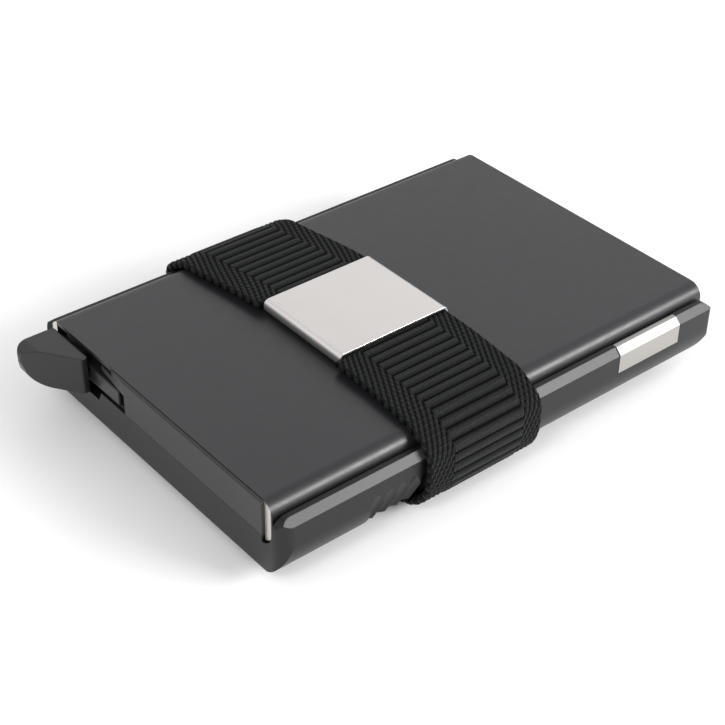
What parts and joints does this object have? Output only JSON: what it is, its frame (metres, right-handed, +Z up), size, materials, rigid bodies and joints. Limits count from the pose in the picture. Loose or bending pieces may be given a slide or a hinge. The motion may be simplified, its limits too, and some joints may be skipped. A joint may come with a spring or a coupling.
{
  "type": "card wallet",
  "caption": "Slim aluminium card case with a corner lever that fans the cards out, a sliding tray below it, and an elastic band with a steel clasp.",
  "frame": {"origin": "centre of the underside, on the surface that the wallet rests on", "axes": "+X along the cards towards the open end, away from the lever; +Y across the cards towards the lever's corner; +Z up, from the tray to the case"},
  "size_m": [0.1038, 0.0722, 0.0188],
  "materials": {
    "anodised_case": "fine bead-blasted black anodising, bare metal on the cut ends",
    "moulded_cap": "fine spark-eroded texture",
    "moulded_lever": "fine spark-eroded texture",
    "moulded_tray": "fine spark-eroded texture",
    "rivet_steel": "plain",
    "pin_steel": "ground",
    "washer_plastic": "smooth",
    "felt": "pressed felt",
    "spring_steel": "rolled strip",
    "clip_steel": "satin stainless steel",
    "glide_plastic": "waxy",
    "pad_rubber": "matt",
    "band_elastic": "woven ribbed elastic",
    "clasp_steel": "satin stainless steel"
  },
  "bodies": {
    "case": {"case_shell": "anodised_case", "end_cap": "moulded_cap", "cap_cover": "moulded_cap", "cap_rivets": "rivet_steel", "lever_pin": "pin_steel", "lever_washers": "washer_plastic", "card_felt_upper": "felt", "card_felt_lower": "felt", "card_spring": "spring_steel"},
    "lever": {"eject_lever": "moulded_lever"},
    "tray": {"slide_tray": "moulded_tray", "rail_clip": "clip_steel", "tray_glides": "glide_plastic", "tray_pad": "pad_rubber"},
    "band": {"elastic_band": "band_elastic", "band_clasp": "clasp_steel"}
  },
  "joints": [
    {"name": "lever_swing", "type": "hinge", "parent": "case", "child": "lever", "pos_m": [-0.0391, 0.0252, 0.0119], "axis": [0, 0, 1], "range_deg": [0, 40]},
    {"name": "tray_slide", "type": "slide", "parent": "case", "child": "tray", "axis": [-1, 0, 0], "range_m": [0, 0.038]},
    {"name": "band_slide", "type": "slide", "parent": "case", "child": "band", "axis": [1, 0, 0], "range_m": [-0.02, 0.036]}
  ]
}
